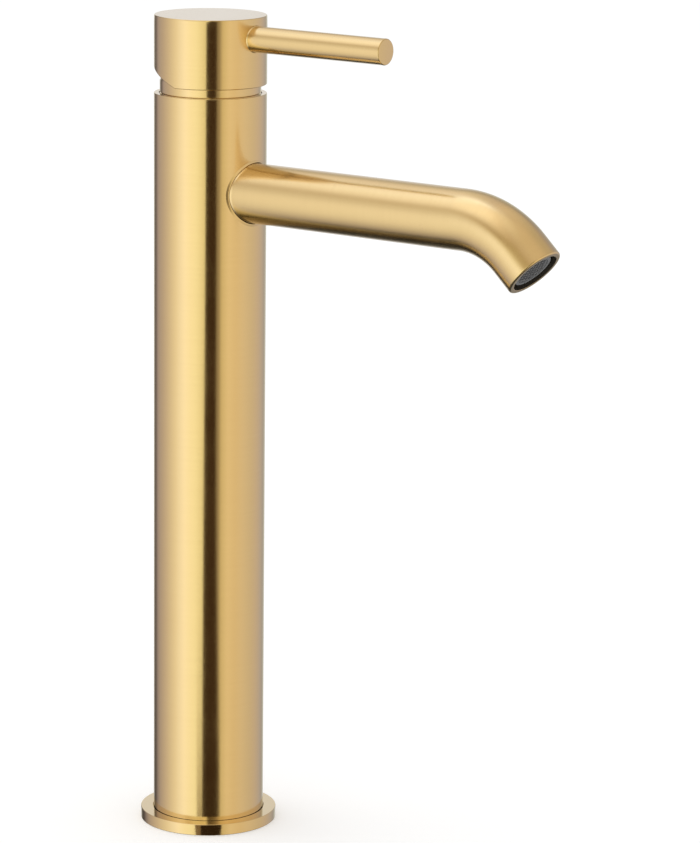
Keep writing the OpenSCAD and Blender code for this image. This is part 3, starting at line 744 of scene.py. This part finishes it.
class MIXER_OT_finishes(bpy.types.Operator):
    """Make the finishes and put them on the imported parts"""

    bl_idname = "mixer.finishes"
    bl_label = "Finishes"

    def execute(self, context):
        sizes = context.scene.mixer_sizes
        colours = context.scene.mixer_colours
        gold, gold_deep = tuple(colours.gold), tuple(colours.gold_deep)
        upright = ((0, 0, 0), (0, 0, 0))
        along_lever = ((0, 0, LEVER_Z * MM), (math.pi / 2, 0, 0))
        for name, place, rough in (
            ("gold upright", upright, (0.12, 0.19)),
            ("gold foot", upright, (0.06, 0.12)),
            ("gold lever", along_lever, (0.15, 0.24)),
            ("gold spout", "unbent", (0.185, 0.29)),
        ):
            brushed_metal(name, gold, gold_deep, sizes.brush_line, rough, place, 0.6, 0.15)
        brass, copper = tuple(colours.brass), tuple(colours.copper)
        for name, light, dark, line, rough, strength in (
            ("brass", brass, shaded(brass, 0.82), 0.0003, (0.24, 0.38), 0.5),
            ("copper", copper, shaded(copper, 0.8), 0.002, (0.28, 0.42), 0.2),
            ("steel", (0.55, 0.56, 0.57), (0.44, 0.45, 0.46), 0.0003, (0.25, 0.35), 0.4),
        ):
            brushed_metal(name, light, dark, line, rough, upright, strength=strength)
        plastic = tuple(colours.aerator)
        grained("grey plastic", plastic, shaded(plastic, 0.8), 0.0004, (0.3, 0.42), strength=0.3)
        grained("white plastic", (0.74, 0.73, 0.69), (0.66, 0.65, 0.61), 0.0005, (0.35, 0.5))
        # The bore finish is near black: painted shade for the inside of the spout and its mouth
        grained("bore", (0.03, 0.024, 0.017), (0.018, 0.014, 0.01), 0.0006, (0.5, 0.65))
        grained("grille", (0.19, 0.192, 0.196), (0.14, 0.142, 0.145), 0.0004, (0.4, 0.5))
        grained("rubber", (0.03, 0.03, 0.031), (0.016, 0.016, 0.017), 0.0003, (0.55, 0.75))
        grained("ceramic", (0.86, 0.85, 0.82), (0.80, 0.79, 0.76), 0.0002, (0.12, 0.2), coat=0.3)
        # Every other slot's finish has the slot's own name
        by_slot = {"gold": "gold upright", "raw_brass": "brass"}
        for part in frame["record"]["subparts"]:
            obj, slot = frame["nodes"][part["node"]], part["material_slot"]
            finish = by_slot.get(slot, slot.replace("_", " "))
            if obj.name == "aerator_grille":
                finish = "grille"
            obj.data.materials.clear()
            obj.data.materials.append(bpy.data.materials[finish])
        return {"FINISHED"}


class MIXER_OT_column(bpy.types.Operator):
    """Make the column's tube, with the hole that the spout passes through"""

    bl_idname = "mixer.column"
    bl_label = "Column"

    def execute(self, context):
        sizes = context.scene.mixer_sizes
        edge, inner_edge, hole_edge = sizes.fine_edge / MM, 0.15, 0.35
        r, low, high = COLUMN_HIGH.x, COLUMN_LOW.z, COLUMN_HIGH.z
        bore = r - TUBE_WALL
        hole_r = SPOUT_R + sizes.hole_gap / MM
        outline = [(bore, low), (r, low), (r, high), (bore, high)]
        tube = turn(outline, 360, [(2, edge, 4), (3, inner_edge, 2)])
        tube = carve(tube, laid(rod(hole_r, 0, 2 * r, 160), SPOUT_Z))
        round_hole(tube, r, hole_r, SPOUT_Z, hole_edge, 4)
        crest_r = SPOUT_R + RING_OFF
        add_shell(tube, root_cone(crest_r, r, RING_SPREAD, RING_HEIGHT, SPOUT_Z, RING_CREST))
        make_piece("column_shell", tube, "gold upright", "body", ["column_tube"])
        return {"FINISHED"}


class MIXER_OT_foot(bpy.types.Operator):
    """Make the foot ring that the column stands in"""

    bl_idname = "mixer.foot"
    bl_label = "Foot ring"

    def execute(self, context):
        edge, inner_edge = context.scene.mixer_sizes.fine_edge / MM, 0.2
        r, high, draft = FOOT_HIGH.x - HAIR, FOOT_HIGH.z, 0.08
        seat, seat_r, shank = COLUMN_LOW.z, COLUMN_HIGH.x + 0.36, 18.5
        groove_out, groove_in, groove_top = 25.45, 20.45, 1.5
        outline = [(shank, 0), (groove_in, 0), (groove_in, groove_top), (groove_out, groove_top)]
        outline += [(groove_out, 0), (r - draft, 0), (r, high), (seat_r, high), (seat_r, seat)]
        outline += [(shank, seat)]
        soft = [(5, edge * 0.7, 3), (6, edge, 4), (0, inner_edge, 2), (9, inner_edge, 2)]
        make_piece("foot_ring", turn(outline, 360, soft), "gold foot", "body", ["base_flange"])
        return {"FINISHED"}


class MIXER_OT_spout(bpy.types.Operator):
    """Make the spout: a tube bent down at its end, with the turned mouth that holds the aerator"""

    bl_idname = "mixer.spout"
    bl_label = "Spout"

    mouth_r = 9.85
    bend = math.radians(BEND_ANGLE)
    bend_end = SPOUT_STRAIGHT + BEND_R * bend

    def execute(self, context):
        bm = bmesh.new()
        unbent = bm.verts.layers.float_vector.new("unbent")
        loop = bmesh.ops.create_circle(bm, cap_ends=False, radius=SPOUT_R * MM, segments=144)
        loop = [(v, v.co / (SPOUT_R * MM)) for v in loop["verts"]]
        first_edges = edges = list({e for v, _ in loop for e in v.link_edges})
        rings = self.rings(context.scene.mixer_sizes)
        self.lay(unbent, loop, *rings[0])
        for ring in rings[1:]:
            made = bmesh.ops.extrude_edge_only(bm, edges=edges)["geom"]
            older, fresh = dict(loop), [g for g in made if isinstance(g, bmesh.types.BMVert)]
            loop = []
            for v in fresh:
                parent = next(o for e in v.link_edges for o in e.verts if o in older)
                loop.append((v, older[parent]))
            fresh = set(fresh)
            made_edges = [g for g in made if isinstance(g, bmesh.types.BMEdge)]
            edges = [e for e in made_edges if all(v in fresh for v in e.verts)]
            self.lay(unbent, loop, *ring)
        bmesh.ops.bridge_loops(bm, edges=edges + first_edges)
        face_out(bm)
        # Faces inside the spout and its mouth take the near-black bore finish, which is painted shade
        for face in bm.faces:
            if all(v[unbent].xy.length < (self.mouth_r + 0.1) * MM for v in face.verts):
                face.material_index = 1
        nodes = ["spout", "spout_tip"]
        make_piece("spout_tube", bm, "gold spout", "body", nodes, sharp=50, painted_shade_finish="bore")
        return {"FINISHED"}

    def rings(self, sizes):
        """The rings of the closed tube, out along its outside and back along its bore.

        Each is (length, radius, on_wall): the length is measured from the column's axis, or
        from its round wall where on_wall is true."""
        bore_r, mouth_r = SPOUT_R - TUBE_WALL, self.mouth_r
        lip = SPOUT_R + sizes.lip / MM
        seat = SPOUT_R + 0.4 * sizes.hole_gap / MM
        rim = sizes.mouth_round / MM
        length = self.bend_end + SPOUT_END - HAIR
        root = [(-SPOUT_HIGH.y, SPOUT_R)]
        cone = [(-1.0, SPOUT_R), (-1.0, seat), (-0.46, seat), (-0.04, lip + 0.03), (0.02, lip)]
        cone += [(0.85, SPOUT_R + 0.01), (0.92, SPOUT_R)]
        steps = 36
        arc = BEND_R * self.bend
        bent = [(SPOUT_STRAIGHT, SPOUT_R)]
        bent += [(SPOUT_STRAIGHT + arc * i / steps, SPOUT_R) for i in range(1, steps)]
        tip = [(self.bend_end, SPOUT_R), (length - rim, SPOUT_R)]
        for i in range(1, 7):
            a = math.pi / 2 * i / 6
            tip.append((length - rim + rim * math.sin(a), SPOUT_R - rim + rim * math.cos(a)))
        tip += [(length, mouth_r + 0.2), (length - 0.06, mouth_r + 0.06), (length - 0.2, mouth_r)]
        # The steps inside the mouth, where the aerator sits
        recess, thread, ledge = (length - depth for depth in (3.0, 8.6, 9.4))
        thread_r, ledge_r = 9.25, 7.75
        tip += [(recess, mouth_r), (recess, thread_r), (thread, thread_r)]
        tip += [(thread, ledge_r), (ledge, ledge_r), (ledge, bore_r)]
        back = [(s, bore_r) for s, _ in reversed(root + bent)]
        rings = [(s, r, False) for s, r in root] + [(s, r, True) for s, r in cone]
        return rings + [(s, r, False) for s, r in bent + tip + back]

    def lay(self, unbent, loop, length, r, on_wall):
        """Places a ring of the tube, and keeps each point's place on the unbent tube."""
        for v, unit in loop:
            s = length + math.sqrt(COLUMN_HIGH.x**2 - (r * unit.x) ** 2) if on_wall else length
            centre, out, side = self.station(s)
            v.co = (centre + (out * unit.y + side * unit.x) * r) * MM
            v[unbent] = (unit.x * r * MM, unit.y * r * MM, s * MM)

    def station(self, s):
        """Centre and the two cross directions of the spout at the length s from the axis, in mm."""
        arc = max(0.0, min(self.bend, (s - SPOUT_STRAIGHT) / BEND_R))
        y = -min(s, SPOUT_STRAIGHT) - BEND_R * math.sin(arc)
        centre = Vector((0, y, SPOUT_Z - BEND_R * (1 - math.cos(arc))))
        along = Vector((0, -math.cos(arc), -math.sin(arc)))
        out = Vector((0, -math.sin(arc), math.cos(arc)))
        beyond = max(0.0, s - SPOUT_STRAIGHT - BEND_R * self.bend)
        return centre + along * beyond, out, Vector((1, 0, 0))


class MIXER_OT_collar(bpy.types.Operator):
    """Make the domed collar between the column and the handle"""

    bl_idname = "mixer.collar"
    bl_label = "Domed collar"

    def execute(self, context):
        r, low, high = COLLAR_HIGH.x, COLLAR_LOW.z, COLLAR_HIGH.z
        wall, sphere, mouth = 1.3, 21.41, 14.65
        bore, inner_sphere = r - wall, 20.11
        groove_low, groove_high, groove_r = COLUMN_HIGH.z - 0.2, COLUMN_HIGH.z + 0.4, r - 0.5
        outline = [(bore, low), (r, low), (r, groove_low), (groove_r, groove_low)]
        outline += [(groove_r, groove_high), (r, groove_high)]
        start = math.acos(r / sphere)
        end = math.asin((high - PIVOT_Z) / sphere)
        outline += self.arc(sphere, start, end, 0, 12)
        outline.append((mouth, high))
        start = math.acos(mouth / inner_sphere)
        outline.append((mouth, PIVOT_Z + inner_sphere * math.sin(start)))
        outline += self.arc(inner_sphere, start, math.acos(bore / inner_sphere), 1, 8)
        mouth_edge, inner_edge = 0.25, 0.2
        shell = turn(outline, 256, [(18, mouth_edge, 3), (19, inner_edge, 2)])
        make_piece("collar_shell", shell, "gold upright", "body", ["dome_cover"])
        return {"FINISHED"}

    @staticmethod
    def arc(radius, start, end, first, steps):
        """Points of an arc round the lift pivot, from step number first to the last."""
        angles = [start + (end - start) * i / steps for i in range(first, steps + 1)]
        return [(radius * math.cos(a), PIVOT_Z + radius * math.sin(a)) for a in angles]


class MIXER_OT_handle(bpy.types.Operator):
    """Make the round handle with its wedge cut, and the plug at its back"""

    bl_idname = "mixer.handle"
    bl_label = "Handle"

    def execute(self, context):
        sizes = context.scene.mixer_sizes
        r, low, high = HANDLE_HIGH.x, HANDLE_LOW.z, HANDLE_HIGH.z
        wall, roof, boss_r, boss_z = 1.5, high - 3, 8.2, PIVOT_Z + 9
        bore = r - wall
        # The wall leans in a little towards the top
        lean, lean_over = 0.1, 4
        outline = [(0, boss_z), (boss_r, boss_z), (boss_r, roof), (bore, roof), (bore, low)]
        outline += [(r, low)]
        outline += [(r - lean * (i / 6) ** 2, high - lean_over * (1 - i / 6)) for i in range(7)]
        outline += [(0, high)]
        cap = turn(outline, 360, [(12, sizes.crown_edge / MM, 5)])
        block = 90
        wedge = bmesh.new()
        bmesh.ops.create_cube(wedge, size=block * MM)
        to_corner = (0, block / 2 * MM, -block / 2 * MM)
        bmesh.ops.translate(wedge, verts=wedge.verts[:], vec=to_corner)
        slope = Matrix.Rotation(math.radians(WEDGE_ANGLE), 4, "X")
        bmesh.ops.transform(wedge, matrix=slope, verts=wedge.verts[:])
        wedge_foot = (0, WEDGE_START * MM, low * MM)
        bmesh.ops.translate(wedge, verts=wedge.verts[:], vec=wedge_foot)
        hole_r = LEVER_R + 0.22
        lever_hole = rod(hole_r, r - LEVER_SEAT, 2 * r, 96)
        plug_z = (PLUG_LOW.z + PLUG_HIGH.z) / 2
        plug_hole = rod(PLUG_HIGH.x + 0.05, -2 * r, -PLUG_LOW.y, 96)
        cap = carve(cap, wedge, laid(lever_hole, LEVER_Z), laid(plug_hole, plug_z))
        slope_normal = slope @ Vector((0, 0, 1))
        foot_point = Vector((0, WEDGE_START, low)) * MM
        slack, near, least_angle = 0.02, 0.01 * MM, math.radians(30)

        def lower_rim(e):
            outside = all(v.co.xy.length > (r - slack) * MM for v in e.verts)
            on_cut = all(abs((v.co - foot_point).dot(slope_normal)) < near for v in e.verts)
            flat = all(abs(v.co.z - low * MM) < near for v in e.verts)
            return outside and e.calc_face_angle(0) > least_angle and (on_cut or flat)

        round_edges(cap, lower_rim, sizes.skirt_edge / MM, 4)
        round_hole(cap, r, hole_r, LEVER_Z, 0.06, 2)
        # The lug that holds the lever's root, and the pad behind the plug
        lug_r, lug_start, lug_end = 7, 9, r - 1.4
        pad_r, pad_start, pad_end = 4.5, 3.2 - r, 0.6 - r
        add_shell(cap, laid(rod(lug_r, lug_start, lug_end, 64), LEVER_Z))
        add_shell(cap, laid(rod(pad_r, pad_start, pad_end, 64), plug_z))
        make_piece("handle_shell", cap, "gold upright", "handle", ["handle_cap"])
        button = rod(PLUG_HIGH.x, 0, PLUG_HIGH.y - PLUG_LOW.y, 96, [(2, 0.35, 4)])
        laid(button, plug_z, y=PLUG_LOW.y, quarter=-1)
        make_piece("plug_button", button, "gold lever", "handle", ["handle_plug"])
        return {"FINISHED"}


class MIXER_OT_lever(bpy.types.Operator):
    """Make the lever's rod"""

    bl_idname = "mixer.lever"
    bl_label = "Lever"

    def execute(self, context):
        wall_r, tip, root, root_r = HANDLE_HIGH.x, -LEVER_LOW.y, 7, 4
        seat = wall_r - LEVER_SEAT
        outline = [(0, root), (root_r, root), (root_r, seat), (LEVER_R, seat)]
        outline += [(LEVER_R, tip), (0, tip)]
        seat_edge, tip_edge = 0.25, 0.5
        bar = laid(turn(outline, 192, [(3, seat_edge, 3), (4, tip_edge, 5)]), LEVER_Z)
        cone = root_cone(LEVER_R, wall_r, LEVER_CONE_SPREAD, LEVER_CONE_HEIGHT, LEVER_Z)
        add_shell(bar, cone)
        make_piece("lever_rod", bar, "gold lever", "handle", ["lever"])
        return {"FINISHED"}


class MIXER_OT_stage(bpy.types.Operator):
    """Set up the floor, the light, the tent and stand that the metal mirrors, and the camera"""

    bl_idname = "mixer.stage"
    bl_label = "Studio"

    def execute(self, context):
        scene = context.scene
        self.world(scene)
        self.floor(scene)
        self.tent(scene)
        self.stand(scene)
        self.lamp(scene)
        self.camera(scene)
        scene.view_settings.view_transform = "Standard"
        return {"FINISHED"}

    @staticmethod
    def direction(turn_deg, climb_deg):
        """A direction from the mixer: its turn to the right of the camera, and its climb."""
        toward = Vector((-CAMERA_LEVEL[0], -CAMERA_LEVEL[1], 0)).normalized()
        right = Vector((-toward.y, toward.x, 0))
        t, e = math.radians(turn_deg), math.radians(climb_deg)
        level = toward * math.cos(t) + right * math.sin(t)
        return level * math.cos(e) + Vector((0, 0, math.sin(e)))

    @staticmethod
    def for_looks(n, level, seen_level):
        """A strength: level for light on the object, seen_level for what is seen or mirrored."""
        path = n.add("ShaderNodeLightPath").outputs
        seen = n.math("MAXIMUM", path["Is Camera Ray"], path["Is Glossy Ray"])
        seen = n.math("MAXIMUM", seen, path["Is Transmission Ray"])
        return n.math("MULTIPLY_ADD", seen, seen_level - level, level)

    @staticmethod
    def studio_piece(scene, name, bm, material):
        """A piece of the studio, which isn't part of the mixer."""
        mesh = bpy.data.meshes.new(name)
        bm.to_mesh(mesh)
        bm.free()
        mesh.materials.append(material)
        obj = bpy.data.objects.new(name, mesh)
        scene.collection.objects.link(obj)
        return obj

    def mirrored_piece(self, scene, name, bm, material):
        """A glowing piece of the studio that shows in reflections and nowhere else."""
        material.cycles.emission_sampling = "NONE"
        obj = self.studio_piece(scene, name, bm, material)
        for ray in ("camera", "diffuse", "shadow", "transmission"):
            setattr(obj, f"visible_{ray}", False)

    def world(self, scene):
        """Pale air, which lights the mixer from all sides and shows as white."""
        world = bpy.data.worlds.new("studio air")
        scene.world = world
        world.use_nodes = True
        world.node_tree.nodes.clear()
        n = Nodes(world.node_tree)
        inputs = {"Color": (1, 1, 1), "Strength": self.for_looks(n, WORLD_LEVEL, 1.0)}
        air = n.add("ShaderNodeBackground", inputs)
        n.add("ShaderNodeOutputWorld", {"Surface": air.outputs[0]})

    def floor(self, scene):
        """A wide pale floor, lifted to white where it is seen; it keeps the mixer's shadow."""
        bm = bmesh.new()
        bmesh.ops.create_circle(bm, cap_ends=True, radius=FLOOR_R, segments=96)
        bmesh.ops.translate(bm, verts=bm.verts[:], vec=(0, 0, -FLOOR_DROP))
        material, n, shader = new_material("pale floor", "ShaderNodeBsdfPrincipled")
        grain = n.noise(n.on_piece(), FLOOR_GRAIN)
        colour = tuple(scene.mixer_colours.floor)
        n.put(n.mix(grain, shaded(colour, 0.99), colour), shader["Base Color"])
        n.put(0.9, shader["Roughness"])
        n.put(0.0, shader["Specular IOR Level"])
        n.put((1, 1, 1), shader["Emission Color"])
        n.put(self.for_looks(n, 0.0, FLOOR_LIFT), shader["Emission Strength"])
        self.studio_piece(scene, "floor", bm, material).visible_glossy = False

    def tent(self, scene):
        """A round tent of soft light, whose level and colour change with turn and climb."""
        bm = bmesh.new()
        bmesh.ops.create_uvsphere(bm, u_segments=96, v_segments=48, radius=TENT_R)
        bmesh.ops.translate(bm, verts=bm.verts[:], vec=(0, 0, TENT_Z))
        material, n, glow = new_material("tent cloth", "ShaderNodeEmission")
        away = n.vector("NORMALIZE", n.vector("SUBTRACT", n.on_piece(), (0, 0, TENT_Z)))
        toward = self.direction(0, 0)
        turn_back = (0, 0, -math.atan2(toward.y, toward.x))
        turned = n.add("ShaderNodeMapping", {"Vector": away, "Rotation": turn_back}).outputs[0]
        around = n.add("ShaderNodeTexGradient", {"Vector": turned}, gradient_type="RADIAL")
        around = around.outputs["Fac"]
        climb = n.math("ARCSINE", n.add("ShaderNodeSeparateXYZ", {0: away}).outputs["Z"])

        def by_turn(table, level=1.0):
            return n.ramp(around, [(0.5 + a / 360, shaded(rgb, level)) for a, rgb in table])

        def by_climb(fac, table, interpolation="LINEAR"):
            return n.ramp(fac, [(0.5 + a / 180, v) for a, v in table], interpolation)

        def faded(fades):
            """The climb, stretched by the fades (turn, stretch), as 0 to 1."""
            stretch = n.ramp(around, [(0.5 + a / 360, 0.25 + v / 4) for a, v in fades])
            whole = n.math("MULTIPLY", n.math("MULTIPLY", stretch, 4.0), climb)
            return n.math("MULTIPLY_ADD", whole, 1 / math.pi, 0.5)

        walls = by_turn(TENT_WALLS, 1 / TENT_PEAK)
        walls = n.times(walls, by_climb(faded(TENT_LOW_FADE), TENT_LOW))
        walls = n.times(walls, by_climb(faded(TENT_HIGH_FADE), TENT_HIGH))
        toward_roof = n.vector("DOT_PRODUCT", away, self.direction(*TENT_ROOF_AT))
        off_roof = n.math("MULTIPLY", n.math("ARCCOSINE", toward_roof), 1 / math.pi)
        roof = n.ramp(off_roof, [(a / 180, shaded(rgb, 1 / TENT_PEAK)) for a, rgb in TENT_ROOF])
        roof = n.times(roof, by_turn(TENT_ROOF_TINT))
        plain = n.math("MULTIPLY_ADD", climb, 1 / math.pi, 0.5)
        n.put(n.mix(by_climb(plain, TENT_SPLIT, "EASE"), walls, roof), glow["Color"])
        n.put(TENT_PEAK, glow["Strength"])
        self.mirrored_piece(scene, "light_tent", bm, material)

    def stand(self, scene):
        """A dark stand in front of the mixer, which the metal mirrors as a dark stripe."""
        toward, right, up = self.direction(0, 0), self.direction(90, 0), Vector((0, 0, 1))
        for name, outline, colour in STAND_CARDS:
            bm = bmesh.new()
            verts = []
            for turn_deg, height in outline:
                aside = right * (STAND_AT * math.tan(math.radians(turn_deg)))
                verts.append(bm.verts.new(toward * STAND_AT + aside + up * height))
            bm.faces.new(verts)
            material, n, glow = new_material(name.replace("_", " "), "ShaderNodeEmission")
            n.put(colour, glow["Color"])
            self.mirrored_piece(scene, name, bm, material)

    def lamp(self, scene):
        """A large soft lamp above, which gives the floor its shadow; the metal mirrors the tent."""
        light = bpy.data.lights.new("soft_lamp", "AREA")
        light.shape = "SQUARE"
        light.size = LAMP_SIZE
        light.energy = LAMP_WATTS
        obj = bpy.data.objects.new("soft_lamp", light)
        scene.collection.objects.link(obj)
        away = self.direction(*LAMP_WAY)
        obj.location = Vector(LAMP_TARGET) + away * LAMP_AWAY
        obj.rotation_mode = "QUATERNION"
        obj.rotation_quaternion = away.to_track_quat("Z", "Y")
        obj.visible_camera = False
        obj.visible_glossy = False

    def camera(self, scene):
        """The camera, in front and to the left, a little above the mixer."""
        level = Vector((*CAMERA_LEVEL, 0)).normalized()
        right = Vector((level.y, -level.x, 0))
        up = Vector((0, 0, 1))
        y, t, r = (math.radians(a) for a in (CAMERA_YAW, CAMERA_PITCH, CAMERA_ROLL))
        ahead = level * math.cos(y) + right * math.sin(y)
        right = right * math.cos(y) - level * math.sin(y)
        view = ahead * math.cos(t) - up * math.sin(t)
        top = up * math.cos(t) + ahead * math.sin(t)
        rolled_right = right * math.cos(r) + top * math.sin(r)
        rolled_top = top * math.cos(r) - right * math.sin(r)
        data = bpy.data.cameras.new("camera")
        data.lens = CAMERA_LENS
        data.sensor_width = CAMERA_SENSOR
        data.clip_start, data.clip_end = CAMERA_CLIP
        camera = bpy.data.objects.new("camera", data)
        scene.collection.objects.link(camera)
        turned = Matrix((rolled_right, rolled_top, -view)).transposed().to_4x4()
        camera.matrix_world = Matrix.Translation(Vector(CAMERA_PLACE) * MM) @ turned
        scene.camera = camera


class MIXER_PT_panel(bpy.types.Panel):
    """Sizes, colours and the steps that build the mixer"""

    bl_idname = "MIXER_PT_panel"
    bl_label = "Basin mixer"
    bl_space_type = "VIEW_3D"
    bl_region_type = "UI"
    bl_category = "Basin mixer"

    def draw(self, context):
        layout = self.layout
        for holder in (context.scene.mixer_sizes, context.scene.mixer_colours):
            box = layout.box()
            for name in holder.bl_rna.properties.keys():
                if name not in ("rna_type", "name"):
                    box.prop(holder, name)
        for operator in OPERATORS:
            layout.operator(operator.bl_idname)


OPERATORS = (
    MIXER_OT_finishes,
    MIXER_OT_column,
    MIXER_OT_foot,
    MIXER_OT_spout,
    MIXER_OT_collar,
    MIXER_OT_handle,
    MIXER_OT_lever,
    MIXER_OT_stage,
)
CLASSES = (MixerSizes, MixerColours, *OPERATORS, MIXER_PT_panel)


def register():
    for cls in CLASSES:
        bpy.utils.register_class(cls)
    bpy.types.Scene.mixer_sizes = bpy.props.PointerProperty(type=MixerSizes)
    bpy.types.Scene.mixer_colours = bpy.props.PointerProperty(type=MixerColours)


def unregister():
    del bpy.types.Scene.mixer_colours
    del bpy.types.Scene.mixer_sizes
    for cls in reversed(CLASSES):
        bpy.utils.unregister_class(cls)


def main():
    register()
    for operator in OPERATORS:
        step = getattr(bpy.ops.mixer, operator.bl_idname.split(".")[1])
        if step() != {"FINISHED"}:
            raise RuntimeError(f"{operator.bl_idname} did not finish")


if __name__ == "__main__":
    main()
